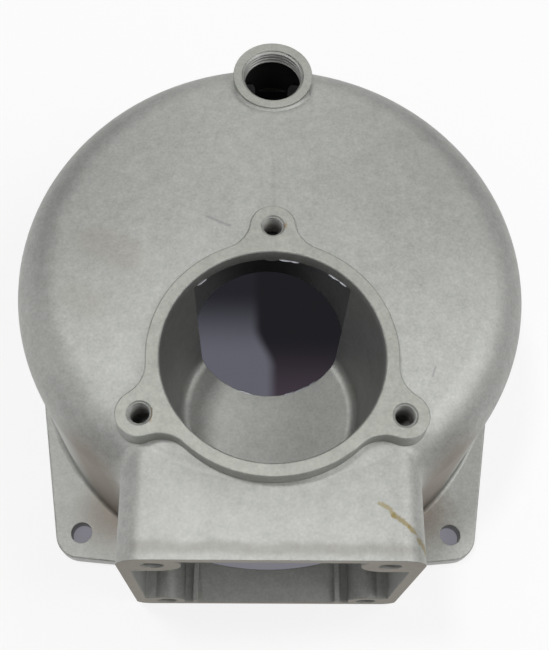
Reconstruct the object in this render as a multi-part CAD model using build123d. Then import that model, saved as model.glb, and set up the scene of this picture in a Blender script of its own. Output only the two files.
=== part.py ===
from build123d import *
from math import acos, asin, atan2, cos, degrees, hypot, radians, sin, sqrt
import os

os.makedirs("parts", exist_ok=True)

# Cast aluminium pump housing, one piece, standing on its back flange.
# +Z runs along the drum axis out of the front face, z = 0 is the back flange face,
# the discharge neck opens toward -Y and the origin is on the drum axis. Sizes in mm.

# drum and domed front face
drum_base_r = 120.4
drum_top_r = 119.5
drum_shoulder_r = 25.0
dome_apex_z = 122.7
dome_crown_r = 600.0
drum_wall = 5.2
roof_wall = 5.6

# back flange with four lugs
flange_t = 8.0
flange_r = 123.5
flange_root_r = 2.5
flange_edge_r = 1.0
lug_x = 94.5
lug_y = 102.3
lug_r = 13.0
lug_hole_d = 10.5
register_r = 120.0
register_depth = 5.0

# suction pad, its bore and the three tapped holes (M10 coarse, drawn at thread diameter)
pad_z = 123.0
pad_root_z = 104.0
bore_r = 49.0
bore_y = -49.0
ring_r = 55.0
bolt_circle_r = 62.5
lower_lobe_deg = 26.5
lobe_r = 10.5
lobe_blend_r = 15.0
pad_edge = 0.4
bore_edge = 0.6
bore_land = 1.5
m10_d = 10.0
m10_mouth_d = 11.2
pad_hole_depth = 16.0
pad_boss_r = 9.0
top_boss_end_z = 105.3
low_boss_end_z = 98.0

# suction pocket behind the bore and the eye passage beside it
pocket_floor_z = 43.0
pocket_floor_r = 44.0
pocket_corner_r = 5.0
pocket_wall = 5.0
pocket_floor_t = 5.5
passage_roof_z = 116.2
passage_roof_r = 38.4
eye_r = 40.0
eye_end_z = 24.5
eye_wall = 5.0
eye_wall_at_roof = 8.0

# discharge neck and its four tapped screw bosses (M10 coarse)
neck_half_w = 64.5
neck_front_z = 113.5
neck_mouth_y = -136.0
neck_wall = 5.0
neck_front_corner_r = 12.0
neck_back_corner_r = 7.0
neck_root_y = -70.0
neck_blend_r = 8.0
neck_screw_x = 49.5
neck_front_screw_z = 101.3
neck_back_screw_z = 9.0
neck_front_boss_r = 12.0
neck_back_boss_r = 9.0
neck_back_fill_z = 16.5
neck_boss_len = 26.0
neck_hole_depth = 20.0
neck_rib_x = 35.3
neck_rib_t = 2.5
neck_rib_h = 4.0
neck_rib_len = 20.0

# threaded port on the front face (M30 x 2, drawn at thread diameter)
port_y = 101.0
port_face_z = 118.8
port_boss_r = 19.5
port_d = 30.0
port_mouth_d = 30.8
port_thread_len = 8.4
port_relief_r = 15.4
port_relief_end_z = 88.0
port_root = 1.0
port_root_run_out = 55.0

# stock below the flange face while the blend is made
skirt = 20.0


def crown_z(apex_z, crown_r, r):
    """Height of a crowned face at radius r."""
    return apex_z - crown_r + sqrt(crown_r**2 - r**2)


def drum_form(base_r, top_r, apex_z, crown_r, shoulder_r):
    """Turned drum with a drafted wall, a rounded shoulder and a crowned face."""
    rim_z = crown_z(apex_z, crown_r, top_r)
    wall = Polyline((0, 0, apex_z), (0, 0, -skirt), (base_r, 0, -skirt), (base_r, 0, 0), (top_r, 0, rim_z))
    half = crown_z(apex_z, crown_r, top_r / 2)
    crown = ThreePointArc((top_r, 0, rim_z), (top_r / 2, 0, half), (0, 0, apex_z))
    face = make_face([*wall.edges(), *crown.edges()])
    rim = face.vertices().filter_by(lambda v: v.X > top_r - 0.01 and v.Z > rim_z - 0.01)
    return revolve(fillet(rim, shoulder_r), Axis.Z)


def upright(radius, z0, z1, x=0.0, y=0.0):
    """Cylinder along Z between two heights."""
    body = Cylinder(radius, z1 - z0, align=(Align.CENTER, Align.CENTER, Align.MIN))
    return Pos(x, y, z0) * body


def tapered(r0, z0, r1, z1, x=0.0, y=0.0):
    """Cone frustum along Z with radius r0 at z0 and r1 at z1."""
    body = Cone(r0, r1, z1 - z0, align=(Align.CENTER, Align.CENTER, Align.MIN))
    return Pos(x, y, z0) * body


def along_y(radius, x, z, y0, y1):
    """Cylinder along Y between two stations."""
    body = Cylinder(radius, y1 - y0, align=(Align.CENTER, Align.CENTER, Align.MIN))
    return Pos(x, y0, z) * Rot(-90, 0, 0) * body


def block(x0, x1, y0, y1, z0, z1):
    """Box between two corners."""
    size = (x1 - x0, y1 - y0, z1 - z0)
    return Pos((x0 + x1) / 2, (y0 + y1) / 2, (z0 + z1) / 2) * Box(*size)


def neck_outline(half_w, z0, z1):
    """Rectangle of the neck in the XZ plane."""
    corners = ((-half_w, 0, z0), (half_w, 0, z0), (half_w, 0, z1), (-half_w, 0, z1))
    return make_face(Polyline(*corners, close=True))


def lobe_at(angle):
    """Centre of a pad lobe on the bolt circle round the bore."""
    return bolt_circle_r * cos(radians(angle)), bore_y + bolt_circle_r * sin(radians(angle))


# drum and neck run on below the flange face while their blend is made, and are trimmed afterwards
drum = drum_form(drum_base_r, drum_top_r, dome_apex_z, dome_crown_r, drum_shoulder_r)
neck_face = neck_outline(neck_half_w, -skirt, neck_front_z)
front_corners = neck_face.vertices().filter_by(lambda v: v.Z > neck_front_z - 0.01)
neck_face = fillet(front_corners, neck_front_corner_r)
neck_len = neck_root_y - neck_mouth_y
neck = Pos(0, neck_mouth_y, 0) * extrude(neck_face, dir=(0, 1, 0), amount=neck_len)

body = drum + neck


def on_neck_root(edge):
    """True for an edge where the neck meets the drum."""
    mid = edge.position_at(0.5)
    r = sqrt(mid.X**2 + mid.Y**2)
    on_drum = drum_top_r - drum_shoulder_r - 1 < r < drum_base_r + 1
    return on_drum and mid.Z > -skirt + 0.5 and abs(mid.X) < neck_half_w + 0.01 and mid.Y < neck_root_y


body = fillet(body.edges().filter_by(on_neck_root), neck_blend_r)
body -= block(-2 * flange_r, 2 * flange_r, -2 * flange_r, 2 * flange_r, -2 * skirt, 0)

# rounded back corners of the neck, only where it stands clear of the flange
corner = neck_back_corner_r
lug_end_y = -lug_y - lug_r
for side in (-1, 1):
    x_edge = side * neck_half_w
    x_in = side * (neck_half_w - corner)
    bite = block(min(x_edge, x_in), max(x_edge, x_in), neck_mouth_y - 1, lug_end_y, -1, corner)
    body -= bite - along_y(corner, x_in, corner, neck_mouth_y - 1, lug_end_y)

# back flange: ring and four lugs, each joined to the ring by its two tangents
lug_centres = [(sx * lug_x, sy * lug_y) for sy in (-1, 1) for sx in (-1, 1)]
lug_angle = degrees(acos((flange_r - lug_r) / hypot(lug_x, lug_y)))
flange_plan = Rot(0, 0, 45) * Circle(flange_r)
for cx, cy in lug_centres:
    outline = [(0, 0)]
    for turn in (-lug_angle, lug_angle):
        nx, ny = cos(atan2(cy, cx) + radians(turn)), sin(atan2(cy, cx) + radians(turn))
        touch = [(flange_r * nx, flange_r * ny), (cx + lug_r * nx, cy + lug_r * ny)]
        outline += touch if turn < 0 else [(cx, cy)] + touch[::-1]
    flange_plan += make_face(Polyline(*outline, close=True)) + Pos(cx, cy) * Circle(lug_r)
flange = extrude(flange_plan, flange_t)
flange = fillet(flange.edges().group_by(Axis.Z)[-1], flange_edge_r)
body += flange

# root radius between flange and drum
root_out = drum_base_r + flange_root_r
root_top = flange_t + flange_root_r
band = upright(root_out, flange_t - 1, root_top) - upright(drum_base_r - 2, flange_t - 1, root_top)
body += band - Pos(0, 0, root_top) * Torus(root_out, flange_root_r)

# suction pad: ring, three lobes and the concave blends between them
lobe_angles = (90.0, 180.0 + lower_lobe_deg, 360.0 - lower_lobe_deg)
pad_plan = Pos(0, bore_y) * Circle(ring_r)
reach = ring_r + lobe_blend_r
span = lobe_r + lobe_blend_r
blend_deg = degrees(acos((bolt_circle_r**2 + reach**2 - span**2) / (2 * bolt_circle_r * reach)))
for angle in lobe_angles:
    lx, ly = lobe_at(angle)
    pad_plan += Pos(lx, ly) * Circle(lobe_r)
    for turn in (-blend_deg, blend_deg):
        bx = reach * cos(radians(angle + turn))
        by = bore_y + reach * sin(radians(angle + turn))
        web = make_face(Polyline((0, bore_y), (bx, by), (lx, ly), close=True))
        pad_plan += web - Pos(bx, by) * Circle(lobe_blend_r)
pad = Pos(0, 0, pad_root_z) * extrude(pad_plan, pad_z - pad_root_z)
pad = chamfer(pad.edges().group_by(Axis.Z)[-1], pad_edge)
body += pad

# port boss; a shallow cone at its root follows the crown and runs out where the shoulder falls away
boss = upright(port_boss_r, root_top, port_face_z, 0, port_y)
root_z = crown_z(dome_apex_z, dome_crown_r, port_y)
root_tilt = degrees(asin(port_y / dome_crown_r))
cone = tapered(port_boss_r + 2 * port_root, -port_root, port_boss_r - port_root / 2, port_root * 1.5)
beyond_r = 3 * port_boss_r
beyond = Rot(-port_root_run_out, 0, 0) * block(-beyond_r, beyond_r, 0, beyond_r, -beyond_r, beyond_r)
cone -= Pos(0, -port_boss_r / 3, port_root * 1.5) * beyond
body += boss + Pos(0, port_y, root_z) * Rot(-root_tilt, 0, 0) * cone

# hollow of the drum: side wall and domed roof
inner_base_r = drum_base_r - drum_wall
inner_top_r = drum_top_r - drum_wall
inner_shoulder_r = drum_shoulder_r - drum_wall
inner_crown_r = dome_crown_r - roof_wall
hollow = drum_form(inner_base_r, inner_top_r, dome_apex_z - roof_wall, inner_crown_r, inner_shoulder_r)

# hollow of the neck
inner_w = neck_half_w - neck_wall
channel_face = neck_outline(inner_w, neck_wall, neck_front_z - neck_wall)
channel_face = fillet(channel_face.vertices(), neck_wall)
channel = Pos(0, neck_mouth_y - 1, 0) * extrude(channel_face, dir=(0, 1, 0), amount=neck_len)
hollow += channel

# metal that stays inside the hollow: pocket cup, eye tube, tapped bosses
cup_floor_z = pocket_floor_z - pocket_floor_t
cup = tapered(pocket_floor_r + pocket_wall, cup_floor_z, bore_r + pocket_wall, pad_z - 1, 0, bore_y)
eye_tube = tapered(eye_r + eye_wall, eye_end_z, passage_roof_r + eye_wall_at_roof, pad_z - 1)
kept = cup + eye_tube
lobe_ends = (top_boss_end_z, low_boss_end_z, low_boss_end_z)
for angle, end_z in zip(lobe_angles, lobe_ends):
    lx, ly = lobe_at(angle)
    kept += upright(pad_boss_r, end_z, pad_z - 1, lx, ly)
hollow -= kept

# relief behind the port thread
hollow += upright(port_relief_r, port_relief_end_z, port_face_z - port_thread_len, 0, port_y)

# screw bosses in the corners of the neck, and two ribs on its back wall
boss_end_y = neck_mouth_y + neck_boss_len
rib_end_y = neck_mouth_y + neck_rib_len
for side in (-1, 1):
    bx = side * neck_screw_x
    wall_x = side * neck_half_w
    x0, x1 = min(bx, wall_x), max(bx, wall_x)
    front_low = neck_front_screw_z - neck_front_boss_r
    front = along_y(neck_front_boss_r, bx, neck_front_screw_z, neck_mouth_y, boss_end_y)
    front += block(x0, x1, neck_mouth_y, boss_end_y, front_low, neck_front_z)
    back = along_y(neck_back_boss_r, bx, neck_back_screw_z, neck_mouth_y, boss_end_y)
    back += block(x0, x1, neck_mouth_y, boss_end_y, 0, neck_back_fill_z)
    rib_x0 = side * neck_rib_x - neck_rib_t / 2
    rib = block(rib_x0, rib_x0 + neck_rib_t, neck_mouth_y, rib_end_y, 0, neck_wall + neck_rib_h)
    hollow -= front + back + rib

# register for the cover, cut last of the hollows so that nothing stands in it
hollow += upright(register_r, -1, register_depth)
body -= hollow

# suction pocket: bore, tapered wall, flat floor with a corner radius
pocket = tapered(pocket_floor_r, pocket_floor_z, bore_r, pad_z - bore_land, 0, bore_y)
pocket = fillet(pocket.edges().group_by(Axis.Z)[0], pocket_corner_r)
pocket += upright(bore_r, pad_z - bore_land, pad_z + 1, 0, bore_y)
pocket += tapered(bore_r, pad_z - bore_edge, bore_r + bore_edge, pad_z, 0, bore_y)

# passage beside it, through the eye; the boss of the top hole hangs into it
passage = tapered(eye_r, pocket_floor_z, passage_roof_r, passage_roof_z)
passage += upright(eye_r, eye_end_z - 1, pocket_floor_z)
lx, ly = lobe_at(lobe_angles[0])
passage -= upright(pad_boss_r, top_boss_end_z, passage_roof_z, lx, ly)
body -= pocket + passage

# tapped holes of the pad
mouth_t = (m10_mouth_d - m10_d) / 2
for angle in lobe_angles:
    lx, ly = lobe_at(angle)
    body -= upright(m10_d / 2, pad_z - pad_hole_depth, pad_z + 1, lx, ly)
    body -= tapered(m10_d / 2, pad_z - mouth_t, m10_mouth_d / 2, pad_z, lx, ly)

# tapped holes of the neck
for side in (-1, 1):
    for z in (neck_front_screw_z, neck_back_screw_z):
        body -= along_y(m10_d / 2, side * neck_screw_x, z, neck_mouth_y - 1, neck_mouth_y + neck_hole_depth)

# flange holes
for cx, cy in lug_centres:
    body -= upright(lug_hole_d / 2, -1, flange_t + 1, cx, cy)

# threaded port
port_t = (port_mouth_d - port_d) / 2
body -= upright(port_d / 2, port_face_z - port_thread_len - 1, port_face_z + 1, 0, port_y)
body -= tapered(port_d / 2, port_face_z - port_t, port_mouth_d / 2, port_face_z, 0, port_y)

housing = body.solid()
print("solids", len(body.solids()), "volume", round(housing.volume), "valid", housing.is_valid)
export_step(housing, "parts/pump_housing.step")
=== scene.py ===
# %% [markdown]
# # A cast aluminium pump housing
# The housing is one casting: a domed drum on a flange, a bore with a bolting pad, a threaded port and a
# square discharge neck. Its shape comes as a finished solid, the frame. What is added here is what a camera
# sees and a solid leaves out: the threads in the holes, torn slivers along two edges, the blasted skin of the
# metal, its stains, and the studio.
# Places are written in millimetres, in the frame of the solid: +Z out of the domed front, -Y out of the neck.
# Blender works in metres, so they are multiplied by mm where they are used.

# %% Load the solid
from math import cos, pi, radians, sin

import bpy
from mathutils import Matrix, Vector


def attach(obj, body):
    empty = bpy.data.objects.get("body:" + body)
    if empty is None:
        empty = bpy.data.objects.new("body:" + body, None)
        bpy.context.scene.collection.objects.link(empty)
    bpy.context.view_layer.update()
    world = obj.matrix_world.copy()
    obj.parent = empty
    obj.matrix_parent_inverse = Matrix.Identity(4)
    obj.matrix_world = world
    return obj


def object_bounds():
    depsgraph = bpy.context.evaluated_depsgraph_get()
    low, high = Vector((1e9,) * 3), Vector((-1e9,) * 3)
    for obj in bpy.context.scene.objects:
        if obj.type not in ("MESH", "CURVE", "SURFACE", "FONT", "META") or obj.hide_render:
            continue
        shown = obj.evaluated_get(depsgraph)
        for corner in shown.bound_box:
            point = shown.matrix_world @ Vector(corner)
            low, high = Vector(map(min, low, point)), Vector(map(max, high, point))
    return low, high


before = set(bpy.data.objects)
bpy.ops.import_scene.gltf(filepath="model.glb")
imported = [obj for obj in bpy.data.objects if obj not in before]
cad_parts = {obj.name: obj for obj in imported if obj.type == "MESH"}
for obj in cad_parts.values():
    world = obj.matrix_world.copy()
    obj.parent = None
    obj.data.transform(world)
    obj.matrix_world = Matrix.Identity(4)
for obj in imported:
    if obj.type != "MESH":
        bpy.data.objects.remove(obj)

mm = 0.001
cad_box = [list(corner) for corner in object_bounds()]
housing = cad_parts["pump_housing"]
size = [round((high - low) / mm, 1) for low, high in zip(*cad_box)]
print("housing", size, "mm,", len(housing.data.polygons), "triangles")

# %% [markdown]
# ## Places on the housing
# Threads, stains and machined faces sit on features of the solid. Each feature is written once here, so that
# a material and a modelled piece that belong to the same hole can't drift apart.

# %% Places on the housing
pad_z = 123.0
bore_xy = (0.0, -49.0)
bore_r = 49.0
bolt_circle_r = 62.5
lobe_degrees = (90.0, 206.5, 333.5)
eye_r = 40.0
port_xy = (0.0, 101.0)
port_face_z = 118.8
port_boss_r = 19.5
port_thread_r = 15.0
port_wall = 8.4
front_z = 113.5
neck_mouth_y = -136.0
neck_screw_x = 49.5
neck_screw_z = (101.3, 9.0)
tap_r = 5.0
tap_depth = 18.0

lobes = [
    (bore_xy[0] + bolt_circle_r * cos(radians(turn)), bore_xy[1] + bolt_circle_r * sin(radians(turn)))
    for turn in lobe_degrees
]
print("pad holes at", [(round(x, 1), round(y, 1)) for x, y in lobes])

# %% [markdown]
# ## The camera
# The photograph was taken by hand from in front of the neck, looking down on the dome at 24 degrees off the
# drum's axis. A camera could be moved about until the picture looks right, but the holes and rims of the
# part pin it down much better, so its place was worked out from where they show. A lens of 56 mm on a frame
# 36 mm high, half a metre away, gives the photograph's perspective, in which the bore's far wall shows and
# the neck's mouth is almost edge on.

# %% The camera
camera_place = Vector((-10.94, -214.49, 524.61)) * mm
camera_pitch, camera_yaw = radians(23.95), radians(1.513)
lens_mm = 55.9
frame_height_mm = 36.0
look = Vector((sin(camera_yaw), sin(camera_pitch) * cos(camera_yaw), -cos(camera_pitch) * cos(camera_yaw)))
across = look.cross(Vector((0, 1, 0))).normalized()
upward = across.cross(look)

camera_data = bpy.data.cameras.new("camera")
camera_data.sensor_fit = "VERTICAL"
camera_data.sensor_height = frame_height_mm
camera_data.lens = lens_mm
camera_data.clip_start = 10 * mm
camera = bpy.data.objects.new("camera", camera_data)
bpy.context.scene.collection.objects.link(camera)
camera_turn = Matrix((across, upward, -look)).transposed()
camera.matrix_world = Matrix.Translation(camera_place) @ camera_turn.to_4x4()
bpy.context.scene.camera = camera
print("camera", [round(c, 3) for c in camera_place], "lens", lens_mm, "mm")

# %% [markdown]
# ## Colour and nodes
# A colour given as a hex code is an sRGB value, but a shader works in linear light, so one function turns the
# hex code over. A second one adds a node with its settings and links, which keeps every material below short
# to read.

# %% Colour and nodes


def linear(code):
    """sRGB hex code to a linear colour with alpha."""
    parts = [int(code[i:i + 2], 16) / 255 for i in (1, 3, 5)]
    return [c / 12.92 if c <= 0.04045 else ((c + 0.055) / 1.055) ** 2.4 for c in parts] + [1.0]


def add_node(tree, kind, inputs=None, **settings):
    """Add a node; an input that gets a socket is linked, any other is set; settings are its properties."""
    node = tree.nodes.new(kind)
    for name, value in settings.items():
        setattr(node, name, value)
    for name, value in (inputs or {}).items():
        if isinstance(value, bpy.types.NodeSocket):
            tree.links.new(value, node.inputs[name])
        else:
            node.inputs[name].default_value = value
    return node


def new_material(name):
    """An empty node material and its tree."""
    material = bpy.data.materials.new(name)
    material.use_nodes = True
    material.node_tree.nodes.clear()
    return material, material.node_tree


print("mid grey in linear light:", [round(c, 3) for c in linear("#808080")[:3]])

# %% [markdown]
# ## The blasted casting
# The real housing is die-cast aluminium that was shot with fine glass beads. Blasting leaves a dull grey skin
# with a broad, soft sheen: each bead leaves a dimple, and thousands of dimples scatter a highlight over a
# hand's width. A picture of blasted metal would stretch over the dome, so the pattern is noise in space. The
# dimples are about 0.2 mm, too fine to show at this distance, so they are drawn 1.2 mm wide, as speckle and
# bump, over blotches of 4 and 14 mm, where the blasting was a little longer or shorter.

# %% The blasted casting
grain_widths = {"speckle": 1.2, "blotch": 4.0, "mottle": 14.0}
grain_shares = {"speckle": 0.5, "blotch": 0.3, "mottle": 0.2}

casting, tree = new_material("bead_blasted_die_cast_aluminium")
place = add_node(tree, "ShaderNodeTexCoord").outputs["Object"]
patterns = {}
grain = 0.0
for name, width in grain_widths.items():
    cloud = {"Vector": place, "Scale": 1 / (width * mm), "Detail": 3.0, "Roughness": 0.6}
    patterns[name] = add_node(tree, "ShaderNodeTexNoise", cloud).outputs["Fac"]
    weighted = {0: patterns[name], 1: grain_shares[name], 2: grain}
    grain = add_node(tree, "ShaderNodeMath", weighted, operation="MULTIPLY_ADD").outputs[0]


def lay_tone(tree, under, mask, over, strength=1.0):
    """Lay one tone over another where a mask says; a tone is a hex code or a colour socket.

    Inputs 6 and 7 of a Mix node are its two colours.
    """
    under, over = [linear(tone) if isinstance(tone, str) else tone for tone in (under, over)]
    share = add_node(tree, "ShaderNodeMath", {0: mask, 1: strength}, operation="MULTIPLY").outputs[0]
    tones = {"Factor": share, 6: under, 7: over}
    return add_node(tree, "ShaderNodeMix", tones, data_type="RGBA").outputs[2]


skin = lay_tone(tree, "#7D7E7A", grain, "#DBDCD8")
print("grain of", grain_widths, "mm, mixed in shares of", grain_shares)

# %% [markdown]
# ## Machined faces
# The pad, the port's face and the flange's back were milled, and blasted again only lightly, so they look
# almost like the rest, just a little warmer. The neck's mouth is milled too, and is given a darker, browner
# tone.
# Materials of their own would need the solid's faces cut apart. Each face has a plane of its own, so a mask
# that compares the place with that plane finds it without a cut. The mask takes all that lies flush with the
# plane to within 0.08 mm, and at the port its rounded rim as well.

# %% Machined faces
flush = 0.08
rim_depth = 0.3
sharp = 0.01
axes = add_node(tree, "ShaderNodeSeparateXYZ", {"Vector": place}).outputs
x_place, y_place, z_place = axes["X"], axes["Y"], axes["Z"]


def merged(tree, operation, masks):
    """One mask of several: MULTIPLY keeps what all of them cover, MAXIMUM what any of them covers."""
    joined = masks[0]
    for mask in masks[1:]:
        joined = add_node(tree, "ShaderNodeMath", {0: joined, 1: mask}, operation=operation).outputs[0]
    return joined


def region(tree, *limits):
    """Mask of a region; a limit is a coordinate, the place where the mask is 0 and the one where it is 1."""
    climbs = []
    for coordinate, none_at, full_at in limits:
        ends = {"Value": coordinate, "From Min": none_at * mm, "From Max": full_at * mm}
        climb = add_node(tree, "ShaderNodeMapRange", ends, interpolation_type="SMOOTHSTEP")
        climbs.append(climb.outputs["Result"])
    return merged(tree, "MULTIPLY", climbs)


on_pad = region(tree, (z_place, pad_z - flush, pad_z - flush + sharp))
on_back = region(tree, (z_place, flush, flush - sharp))
on_mouth = region(tree, (y_place, neck_mouth_y + flush, neck_mouth_y + flush - sharp))
port_low_y = port_xy[1] - port_boss_r + rim_depth
on_port = region(
    tree, (z_place, port_face_z - rim_depth, port_face_z - rim_depth + sharp),
    (y_place, port_low_y, port_low_y + sharp),
)
machined = merged(tree, "MAXIMUM", [on_pad, on_back, on_port])
skin = lay_tone(tree, skin, machined, lay_tone(tree, "#7A7B75", grain, "#D4D5CD"))
skin = lay_tone(tree, skin, on_mouth, lay_tone(tree, "#6F695F", grain, "#A29C92"))
print("machined planes: z", pad_z, port_face_z, 0.0, "and y", neck_mouth_y)

# %% [markdown]
# ## Painted highlight on the front, painted shade inside
# The flat front of the neck gets a lighter tone: a little polish, with a painted highlight on top. The far
# inside of the drum gets a dark tone, which is painted shade. These tones could be painted by hand, but a
# mask made of the same radii and heights as the solid ends at its walls. The drum's inside steps inward on
# its way up, so its mask is made of three cylinders.

# %% Painted highlight on the front, painted shade inside
drum_steps = ((122.0, 5.3), (117.2, 84.0), (113.4, 99.5))
side_place = add_node(tree, "ShaderNodeMath", {0: x_place}, operation="ABSOLUTE").outputs[0]


def from_line(tree, place, point, across):
    """Distance to a line through a point; across is 1 on the two axes square to the line, 0 on its own."""
    away = {0: place, 1: Vector(point) * mm}
    flat = {0: add_node(tree, "ShaderNodeVectorMath", away, operation="SUBTRACT").outputs[0], 1: across}
    gap = {0: add_node(tree, "ShaderNodeVectorMath", flat, operation="MULTIPLY").outputs[0]}
    return add_node(tree, "ShaderNodeVectorMath", gap, operation="LENGTH").outputs["Value"]


# Painted highlight: a lighter tone over the neck's flat front, on top of a little polish.
polish_and_painted_highlight = region(tree, (y_place, -90, -122), (z_place, 106, front_z - 0.1), (side_place, 62, 30))
skin = lay_tone(tree, skin, polish_and_painted_highlight, "#EDEEEA", 0.11)

# Painted shade: a dark tone over the far inside of the drum.
from_axis = from_line(tree, place, (0, 0, 0), (1, 1, 0))
painted_drum_shade = merged(tree, "MAXIMUM", [
    region(tree, (from_axis, inner_r + 0.3, inner_r), (z_place, top_z + 1, top_z), (y_place, 25, 45))
    for inner_r, top_z in drum_steps
])
skin = lay_tone(tree, skin, painted_drum_shade, "#393A37")
print("the drum's inside is", len(drum_steps), "cylinders")

# %% [markdown]
# ## Painted shade inside the holes
# The screw holes, the bore and the port get painted shade: the lamps alone leave them lighter than the shade
# in them. Less light would darken everything else too, so each hole gets a dark tone of its own, which begins
# a little below its mouth. A hole's mask is the distance from the hole's axis, with a limit for its depth.
# The neck's holes lie in mirrored pairs, so one mask serves a pair.

# %% Painted shade inside the holes
wall_fade = 0.2
# Painted shade: a dark tone down each screw hole.
painted_hole_shades = []
for x, y in lobes:
    from_tap = from_line(tree, place, (x, y, 0), (1, 1, 0))
    bottom_z = pad_z - tap_depth
    painted_hole_shades.append(region(
        tree, (from_tap, tap_r + wall_fade, tap_r), (z_place, pad_z - 1, pad_z - 9),
        (z_place, bottom_z - wall_fade, bottom_z),
    ))
mirrored_parts = {"X": side_place, "Y": y_place, "Z": z_place}
mirrored_place = add_node(tree, "ShaderNodeCombineXYZ", mirrored_parts).outputs[0]
for z in neck_screw_z:
    from_tap = from_line(tree, mirrored_place, (neck_screw_x, 0, z), (1, 0, 1))
    bottom_y = neck_mouth_y + tap_depth
    painted_hole_shades.append(region(
        tree, (from_tap, tap_r + wall_fade, tap_r), (y_place, neck_mouth_y + 0.5, neck_mouth_y + 3),
        (y_place, bottom_y + wall_fade, bottom_y),
    ))
skin = lay_tone(tree, skin, merged(tree, "MAXIMUM", painted_hole_shades), "#4A4540", 0.7)

# Painted shade: a dark tone down the bore.
from_bore = from_line(tree, place, (*bore_xy, 0), (1, 1, 0))
painted_bore_shade = region(
    tree, (from_bore, bore_r + 0.5, bore_r + 0.3), (z_place, pad_z - 0.5, pad_z - 6), (z_place, 44, 50),
)
skin = lay_tone(tree, skin, painted_bore_shade, "#3C3D3B", 0.35)

# Painted shade: a dark tone in the port's hollow below its thread.
from_port = from_line(tree, place, (*port_xy, 0), (1, 1, 0))
port_end_z = port_face_z - port_wall
painted_port_shade = region(
    tree, (from_port, port_thread_r + 0.8, port_thread_r + 0.6),
    (z_place, port_end_z + 0.6, port_end_z - 0.4),
)
skin = lay_tone(tree, skin, painted_port_shade, "#393A37")
print(len(painted_hole_shades), "masks for", len(lobes) + 2 * len(neck_screw_z), "screw holes, one each for bore and port")

# %% [markdown]
# ## Stains, scratches and painted shade
# Handling and storage left ochre water stains, brown patches, a dark scuff on the dome and small nicks. Two
# soft brown marks low on the drum beside the neck are painted shade instead, with a brownish painted
# reflection. All these marks could be painted into a picture, but a picture blurs when the camera comes
# close. Here each mark is a soft stroke from one point of the surface to another: a mask measures the
# distance to that stroke and fades at its edge. A stain gets its uneven outline from noise that shifts the
# place first. A scrape is straight.

# %% Stains, scratches and painted shade
ripple_width = 4.0
ripple_reach = 5.0
ripple = add_node(
    tree, "ShaderNodeTexNoise",
    {"Vector": place, "Scale": 1 / (ripple_width * mm), "Detail": 2.0, "Roughness": 0.6},
).outputs["Fac"]
drifts = {}
for axis, pattern in (("X", ripple), ("Y", patterns["mottle"])):
    drift = {0: pattern, 1: ripple_reach * mm, 2: -ripple_reach / 2 * mm}
    drifts[axis] = add_node(tree, "ShaderNodeMath", drift, operation="MULTIPLY_ADD").outputs[0]
shift = add_node(tree, "ShaderNodeCombineXYZ", drifts).outputs[0]
uneven_place = add_node(tree, "ShaderNodeVectorMath", {0: place, 1: shift}, operation="ADD").outputs[0]


def stroke(tree, place, start, end, half_width, fade):
    """Mask of a soft stroke between two points, all in millimetres."""
    start, end = Vector(start) * mm, Vector(end) * mm
    along = end - start
    away = add_node(tree, "ShaderNodeVectorMath", {0: place, 1: start}, operation="SUBTRACT").outputs[0]
    along_share = {0: away, 1: along / along.length_squared}
    share = add_node(tree, "ShaderNodeVectorMath", along_share, operation="DOT_PRODUCT").outputs["Value"]
    share = add_node(tree, "ShaderNodeMath", {0: share, 1: 0.0}, operation="ADD", use_clamp=True).outputs[0]
    foot = add_node(tree, "ShaderNodeVectorMath", {0: along, "Scale": share}, operation="SCALE").outputs[0]
    gap = add_node(tree, "ShaderNodeVectorMath", {0: away, 1: foot}, operation="SUBTRACT").outputs[0]
    distance = add_node(tree, "ShaderNodeVectorMath", {0: gap}, operation="LENGTH").outputs["Value"]
    return region(tree, (distance, half_width + fade, half_width))


stains_and_painted_shade = [
    ("stain on the neck, upper end", (45, -112, front_z), (51, -117, front_z), 0.4, 0.9, "#97874F", 0.6),
    ("stain on the neck, middle", (51, -117, front_z), (57, -121.6, front_z), 0.5, 1.0, "#8B7B42", 0.7),
    ("stain on the neck, lower end", (57, -121.6, front_z), (62, -127, 111.4), 0.8, 1.2, "#8B7B42", 0.7),
    ("stain on the neck, its edge", (62, -127, 111.4), (64.8, -132, 104), 1.2, 1.4, "#8B7B42", 0.65),
    ("stain beside the top hole", (5.4, 12.9, pad_z), (6.2, 14.2, pad_z), 0.3, 0.9, "#9C8250", 0.6),
    ("stain beside the left hole", (-50.9, -75.5, pad_z), (-50.6, -80, pad_z), 0.2, 0.9, "#96794C", 0.6),
    ("stain at the right rim", (108.5, 9, 100), (114, -7, 97), 0.3, 1.6, "#A08C60", 0.5),
    ("brown band on the neck", (-56, -130.8, front_z), (58, -131.6, front_z), 0.6, 3.4, "#8D8A82", 0.42),
    # Painted shade: these two brown shades darken the drum's low flanks beside the neck, with a brownish
    # painted reflection.
    ("painted brown shade left of the neck", (-80, -90, 86), (-78, -91, 20), 7.0, 22.0, "#7A6B5C", 0.7),
    ("painted brown shade right of the neck", (80, -90, 86), (79, -91, 20), 7.0, 22.0, "#7A6B5C", 0.7),
    ("patch on the dome", (-81, 8, 118), (-67, 0, 119), 4.0, 9.0, "#A2988C", 0.24),
    ("lower patch on the dome", (-89, -19, 115), (-80, -25, 116), 3.0, 8.0, "#A2988C", 0.16),
    ("stain at the right rim, lower", (110.5, -1, 99), (113.5, -17, 98), 0.2, 1.2, "#A08C60", 0.4),
]
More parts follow.
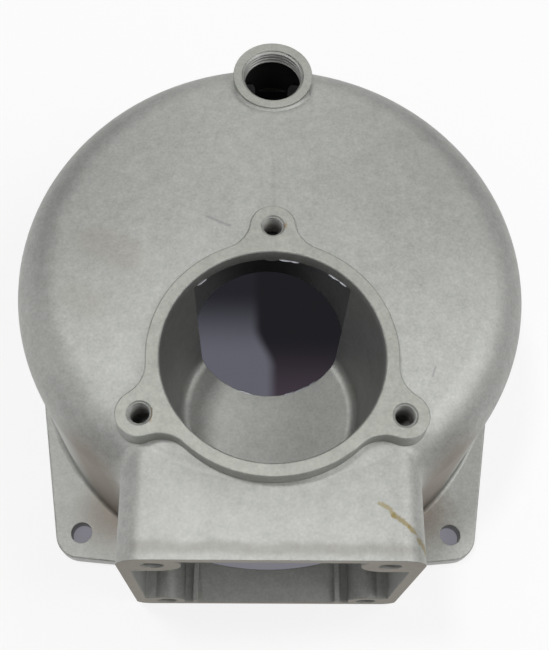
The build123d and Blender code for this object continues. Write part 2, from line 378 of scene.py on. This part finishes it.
scrapes = [
    ("dark scuff on the dome", (-30, 18.5, 121.2), (-19.8, 13.7, 121.8), 0.3, 1.0, "#8C8E8D", 0.55),
    ("casting line above the top lobe", (0, 17, 122.5), (0.4, 48, 121), 0.2, 1.6, "#8D8E8A", 0.16),
    ("scratch on the dome", (69.8, -56.6, 116), (71.4, -52, 116), 0.1, 0.7, "#8A8B8B", 0.5),
    ("nick on the neck", (-53.7, -101.9, 112.5), (-51, -98.4, 113), 0.2, 0.6, "#E8E8E6", 0.5),
]
for marked_place, marks in ((uneven_place, stains_and_painted_shade), (place, scrapes)):
    for name, start, end, half_width, fade, tone, strength in marks:
        skin = lay_tone(tree, skin, stroke(tree, marked_place, start, end, half_width, fade), tone, strength)
        print(name, "from", start, "to", end)

# %% [markdown]
# ## The surface's relief
# The solid's edges are mathematically sharp, while blasting rounds every edge by about half a millimetre.
# Real roundings would need the solid's mesh remade. The Bevel node bends the light at an edge as they would,
# and leaves the mesh alone. The dimples follow as bump. A metal with a rough surface gives the blasted sheen
# by itself, so the base is metallic with a roughness near 0.6, a little uneven with the speckle.

# %% The surface's relief
edge_rounding = 0.6
dimple_depth = 0.10
rounded = add_node(tree, "ShaderNodeBevel", {"Radius": edge_rounding * mm}, samples=6).outputs[0]
dimples = add_node(
    tree, "ShaderNodeBump",
    {"Height": grain, "Normal": rounded, "Strength": 0.6, "Distance": dimple_depth * mm},
).outputs[0]
roughness = add_node(
    tree, "ShaderNodeMapRange", {"Value": patterns["speckle"], "To Min": 0.52, "To Max": 0.66},
).outputs["Result"]
metal = add_node(
    tree, "ShaderNodeBsdfPrincipled",
    {"Base Color": skin, "Roughness": roughness, "Normal": dimples, "Metallic": 0.85},
).outputs[0]
add_node(tree, "ShaderNodeOutputMaterial", {"Surface": metal})
for material_slot in housing.material_slots:
    material_slot.material = casting
print("material", casting.name, len(tree.nodes), "nodes")

# %% [markdown]
# ## Choosing what an operator acts on
# The threads are modelled with operators, as by hand. An operator acts on all that is selected, and the solid
# comes in selected, so each step starts by choosing its piece, and its vertices by their place.

# %% Choosing what an operator acts on


def deselect_all():
    """Leave object mode with nothing selected."""
    if bpy.context.object and bpy.context.object.mode != "OBJECT":
        bpy.ops.object.mode_set(mode="OBJECT")
    bpy.ops.object.select_all(action="DESELECT")


def take(piece):
    """Make a piece the only selected and the active one."""
    deselect_all()
    piece.select_set(True)
    bpy.context.view_layer.objects.active = piece


def pick_vertices(piece, wanted):
    """Select the vertices whose place passes a test, then enter edit mode."""
    take(piece)
    bpy.ops.object.mode_set(mode="EDIT")
    bpy.ops.mesh.select_mode(type="VERT")
    bpy.ops.mesh.select_all(action="DESELECT")
    bpy.ops.object.mode_set(mode="OBJECT")
    for vertex in piece.data.vertices:
        vertex.select = wanted(vertex.co)
    bpy.ops.object.mode_set(mode="EDIT")


deselect_all()
print("selected now:", len(bpy.context.selected_objects))

# %% [markdown]
# ## Threads
# The port has a 2 mm pitch thread and the seven screw holes a 1.5 mm one. A thread is a ridge that winds up
# the wall of its hole. Stacked rings would be simpler, but they don't climb, and that shows at the mouth. A
# Screw modifier makes the real form out of one tooth: it turns the tooth round the axis and lifts it by one
# pitch a turn. The tooth is a plane that starts a little inside the wall, and its inner edge is squeezed to
# the crest's width.

# %% Threads


def crest_radius(wall_r, pitch):
    """Radius that a metric thread leaves open in a hole: its ridge is 0.5413 of a pitch deep."""
    return wall_r - 0.5413 * pitch


def wind_thread(name, wall_r, pitch, length, steps):
    """A thread's ridge in a hole along Z whose mouth is at z = 0; the ridge runs down from it."""
    sunk = 0.05
    outer_r = wall_r + sunk
    crest_r = crest_radius(wall_r, pitch)
    root_width = 0.875 * pitch
    crest_width = 0.25 * pitch
    deselect_all()
    bpy.ops.mesh.primitive_plane_add(size=1)
    ridge = bpy.context.object
    ridge.name = ridge.data.name = name
    bpy.ops.object.mode_set(mode="EDIT")
    bpy.ops.transform.rotate(value=pi / 2, orient_axis="X", center_override=(0, 0, 0))
    bpy.ops.transform.resize(value=((outer_r - crest_r) * mm, 1, root_width * mm))
    middle = (outer_r + crest_r) / 2
    bpy.ops.transform.translate(value=(middle * mm, 0, -length * mm))
    bpy.ops.object.mode_set(mode="OBJECT")
    pick_vertices(ridge, lambda co: co.x < middle * mm)
    bpy.ops.transform.resize(value=(1, 1, crest_width / root_width), center_override=(0, 0, -length * mm))
    bpy.ops.object.mode_set(mode="OBJECT")
    winding = ridge.modifiers.new("winding", "SCREW")
    winding.screw_offset = pitch * mm
    winding.iterations = round(length / pitch) + 1
    winding.steps = winding.render_steps = steps
    bpy.ops.object.modifier_apply(modifier=winding.name)
    bpy.ops.object.mode_set(mode="EDIT")
    bpy.ops.mesh.select_all(action="SELECT")
    bpy.ops.mesh.remove_doubles(threshold=0.001 * mm)
    bpy.ops.mesh.select_all(action="DESELECT")
    bpy.ops.mesh.select_non_manifold(extend=False)
    bpy.ops.mesh.edge_face_add()
    bpy.ops.mesh.select_all(action="SELECT")
    bpy.ops.mesh.normals_make_consistent(inside=False)
    bpy.ops.object.mode_set(mode="OBJECT")
    return ridge


def report(piece):
    """Print a piece's name and face count."""
    print(piece.name, len(piece.data.polygons), "faces")


port_pitch = 2.0
tap_pitch = 1.5
port_ridge = wind_thread("port_thread", port_thread_r, port_pitch, length=port_wall - 0.4, steps=72)
tap_ridge = wind_thread("tapped_thread", tap_r, tap_pitch, length=13.5, steps=36)
report(port_ridge)
report(tap_ridge)

# %% [markdown]
# ## Countersinks
# A threaded hole starts with a small cone that leads the screw in. The same cone trims the end of the ridge
# that still stands out of the hole. Moving vertices by hand would leave a ragged end, so the cone is cut
# from the ridge as a solid, with an exact Boolean.

# %% Countersinks


def sink_mouth(ridge, mouth_r, crest_r):
    """Cut a 45 degree countersink into a ridge at z = 0."""
    below, above = 1.0, 3.0
    drop = mouth_r - crest_r + below
    deselect_all()
    bpy.ops.mesh.primitive_cone_add(
        vertices=96, radius1=(crest_r - below) * mm, radius2=(mouth_r + above) * mm,
        depth=(drop + above) * mm, location=(0, 0, (above - drop) / 2 * mm),
    )
    cutter = bpy.context.object
    cut = ridge.modifiers.new("countersink", "BOOLEAN")
    cut.operation = "DIFFERENCE"
    cut.solver = "EXACT"
    cut.object = cutter
    take(ridge)
    bpy.ops.object.modifier_apply(modifier=cut.name)
    bpy.data.objects.remove(cutter)
    bpy.ops.object.shade_smooth_by_angle(angle=radians(35))


sink_mouth(port_ridge, port_thread_r + 0.4, crest_radius(port_thread_r, port_pitch))
sink_mouth(tap_ridge, tap_r + 0.6, crest_radius(tap_r, tap_pitch))
report(port_ridge)
report(tap_ridge)

# %% [markdown]
# ## Placing the threads
# The two ridges stand with their mouths at the origin. Each hole could show the same mesh through a moved
# object, but then a pattern on Object coordinates would repeat in every hole. So each gets its own copy,
# turned to the hole's axis and moved into its place in the mesh itself.

# %% Placing the threads


def finish_piece(piece, place, quarter_turn=0.0):
    """Turn a piece about X, move it to its place in its own mesh, and let it ride on the housing."""
    spin = Matrix.Rotation(quarter_turn, 4, "X")
    piece.data.transform(Matrix.Translation(Vector(place) * mm) @ spin)
    if not piece.data.materials:
        piece.data.materials.append(casting)
    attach(piece, "root")
    report(piece)


def copy_of(piece, name):
    """A copy with a mesh of its own."""
    twin = piece.copy()
    twin.data = piece.data.copy()
    twin.name = twin.data.name = name
    bpy.context.scene.collection.objects.link(twin)
    return twin


for where, (x, y) in zip(("top", "left", "right"), lobes):
    finish_piece(copy_of(tap_ridge, "pad_thread_" + where), (x, y, pad_z))
for z, height in zip(neck_screw_z, ("front", "back")):
    for sign, side in ((-1, "left"), (1, "right")):
        name = "neck_thread_" + height + "_" + side
        finish_piece(copy_of(tap_ridge, name), (sign * neck_screw_x, neck_mouth_y, z), pi / 2)
bpy.data.objects.remove(tap_ridge)
finish_piece(port_ridge, (*port_xy, port_face_z))

# %% [markdown]
# ## Burrs
# Where the bore breaks through under the pad, and where the eye breaks into the pocket, the tools left thin
# slivers of metal along the edge, which catch the light against the dark. Both edges are arcs. A sliver could
# be extruded out of the edge, but it is thinner than the solid's facets. So it is a sphere squeezed flat and
# long, half of it inside the wall, which looks torn out of the edge. Torn metal was never blasted, so it is
# smoother than the skin.

# %% Burrs
torn, torn_tree = new_material("torn_bright_aluminium")
torn_metal = add_node(
    torn_tree, "ShaderNodeBsdfPrincipled",
    {"Base Color": linear("#A9AAB0"), "Roughness": 0.5, "Metallic": 0.8},
).outputs[0]
add_node(torn_tree, "ShaderNodeOutputMaterial", {"Surface": torn_metal})

sliver_width, sliver_height = 1.2, 0.4
bore_edge = (*bore_xy, bore_r, 116.2)
eye_edge = (0.0, 0.0, eye_r, 42.9)
burrs = [
    (bore_edge, 0.5, 131, 5.5), (bore_edge, 0.5, 83, 6.5), (bore_edge, 0.5, 78, 4.0),
    (bore_edge, 0.5, 55, 6.0), (bore_edge, 0.5, 49, 4.5), (eye_edge, 0.1, 253, 8.0),
    (eye_edge, 0.1, 286, 7.0), (eye_edge, 0.2, 295, 10.0), (eye_edge, 0.1, 304, 5.0),
]
slivers = []
for (x, y, edge_r, z), inward, turn, length in burrs:
    deselect_all()
    bpy.ops.mesh.primitive_uv_sphere_add(segments=20, ring_count=8, radius=0.5 * mm)
    sliver = bpy.context.object
    bpy.ops.object.mode_set(mode="EDIT")
    bpy.ops.transform.resize(value=(sliver_width, length, sliver_height), center_override=(0, 0, 0))
    bpy.ops.object.mode_set(mode="OBJECT")
    bpy.ops.object.shade_smooth()
    arm = Matrix.Rotation(radians(turn), 4, "Z") @ Matrix.Translation(Vector((edge_r - inward, 0, 0)) * mm)
    sliver.data.transform(Matrix.Translation(Vector((x, y, z)) * mm) @ arm)
    slivers.append(sliver)
take(slivers[0])
for sliver in slivers:
    sliver.select_set(True)
bpy.ops.object.join()
window_burrs = slivers[0]
window_burrs.name = window_burrs.data.name = "window_burrs"
window_burrs.data.materials.append(torn)
finish_piece(window_burrs, (0, 0, 0))

# %% [markdown]
# ## The floor
# The ground is white. Lit paper alone would fall off to grey away from the lamps. So the floor is matt paper
# that also shows its white directly to the camera and to the metal's reflections, and keeps a share of the
# shadow in which the housing stands. Inside the drum's footprint, and under the screw holes of the flange,
# the floor carries painted shade instead, shown directly in the same way: lavender grey on the left and dark
# on the right, both darker towards the far side, as the ground looks in the drum's shade.

# %% The floor
floor_width = 12.0
drum_footprint_r = 119.0
flange_holes = ((-97.0, -103.0), (97.0, -103.0))
hole_view_r = 9.0
edge_swing = 9.2
shown_share = 0.8

paper, ground = new_material("matt_paper_ground")
ground_place = add_node(ground, "ShaderNodeTexCoord").outputs["Object"]
ground_axes = add_node(ground, "ShaderNodeSeparateXYZ", {"Vector": ground_place}).outputs
ground_x, ground_y = ground_axes["X"], ground_axes["Y"]
discs = []
for x, y, radius in [(0.0, 0.0, drum_footprint_r)] + [(x, y, hole_view_r) for x, y in flange_holes]:
    from_middle = from_line(ground, ground_place, (x, y, 0), (1, 1, 0))
    discs.append(region(ground, (from_middle, radius + 1, radius)))
footprint = merged(ground, "MAXIMUM", discs)

# Painted shade: the ground's tones under the drum and the flange holes are its shaded look, darker towards
# +Y.
lavender = lay_tone(ground, "#2A2A30", region(ground, (ground_y, 40, -2)), "#6A6A75")
lavender = lay_tone(ground, lavender, region(ground, (ground_y, -60, -100)), "#85848C")
dark = lay_tone(ground, "#242327", region(ground, (ground_y, 12, -28)), "#453C45")
swing = {0: region(ground, (ground_y, -8, 18)), 1: edge_swing * mm, 2: ground_x}
swung_x = add_node(ground, "ShaderNodeMath", swing, operation="MULTIPLY_ADD").outputs[0]
left_part = region(ground, (swung_x, 6.5, -1.0))
near_part = region(ground, (ground_y, -60, -90))
painted_ground_shade = lay_tone(ground, dark, merged(ground, "MAXIMUM", [left_part, near_part]), lavender)

sheet_tone = lay_tone(ground, "#F6F6F6", footprint, painted_ground_shade)
sheet = add_node(
    ground, "ShaderNodeBsdfPrincipled",
    {"Base Color": sheet_tone, "Roughness": 0.95, "Specular IOR Level": 0.1},
).outputs[0]
# The glow also shows the painted shade under the drum to the camera and to reflections.
shown_tone = lay_tone(ground, "#FFFFFF", footprint, painted_ground_shade)
shown = add_node(ground, "ShaderNodeEmission", {"Color": shown_tone, "Strength": 1.0}).outputs[0]
rays = add_node(ground, "ShaderNodeLightPath").outputs
seen = merged(ground, "MAXIMUM", [rays["Is Camera Ray"], rays["Is Glossy Ray"], rays["Is Transmission Ray"]])
share = add_node(ground, "ShaderNodeMath", {0: seen, 1: shown_share}, operation="MULTIPLY").outputs[0]
both = add_node(ground, "ShaderNodeMixShader", {0: share, 1: sheet, 2: shown}).outputs[0]
add_node(ground, "ShaderNodeOutputMaterial", {"Surface": both})

deselect_all()
bpy.ops.mesh.primitive_plane_add(size=floor_width)
floor = bpy.context.object
floor.name = floor.data.name = "floor"
floor.data.materials.append(paper)
print("floor", floor_width, "m square")

# %% [markdown]
# ## Light
# Dull metal shows what it faces as a blur. A white room round it would fill every shade, but in the
# photograph the dome is bright at its crown and falls away at its rim. So the room gives no light: it only
# shows white to the camera. One small lamp high on the left draws the cut edge of shade in the pocket, a wide
# one on the right is nearly as strong, and weaker wide ones behind, low on the left and at both front corners
# keep the flanks and the bore from going black. Places are in metres, sizes too, and powers in watts.

# %% Light
lamp_aim = Vector((0, -0.02, 0.06))
small = 0.25
wide = 0.9


def soft_lamp(name, place, width, power):
    """A square lamp that faces the middle of the housing."""
    lamp = bpy.data.lights.new(name, "AREA")
    lamp.shape = "SQUARE"
    lamp.size = width
    lamp.energy = power
    holder = bpy.data.objects.new(name, lamp)
    bpy.context.scene.collection.objects.link(holder)
    holder.location = place
    holder.rotation_euler = (lamp_aim - Vector(place)).to_track_quat("-Z", "Y").to_euler()
    print(name, "at", place, "power", power)


soft_lamp("lamp_high_left", (-0.48, 0.16, 1.94), small, 11.2)
soft_lamp("lamp_right", (0.96, 0.0, 1.15), wide, 8.8)
soft_lamp("lamp_behind", (0.0, 1.23, 0.86), wide, 4.6)
soft_lamp("lamp_low_left", (-1.39, 0.0, 0.56), wide, 3.2)
soft_lamp("lamp_front_left", (-0.61, -0.61, 1.23), wide, 3.2)
soft_lamp("lamp_front_right", (0.61, -0.61, 1.23), wide, 3.8)

room = bpy.data.worlds.new("room")
room.use_nodes = True
room.node_tree.nodes.clear()
to_camera = add_node(room.node_tree, "ShaderNodeLightPath").outputs["Is Camera Ray"]
backdrop = {"Color": linear("#FFFFFF"), "Strength": to_camera}
glow = add_node(room.node_tree, "ShaderNodeBackground", backdrop).outputs[0]
add_node(room.node_tree, "ShaderNodeOutputWorld", {"Surface": glow})
bpy.context.scene.world = room
bpy.context.scene.view_settings.view_transform = "Standard"
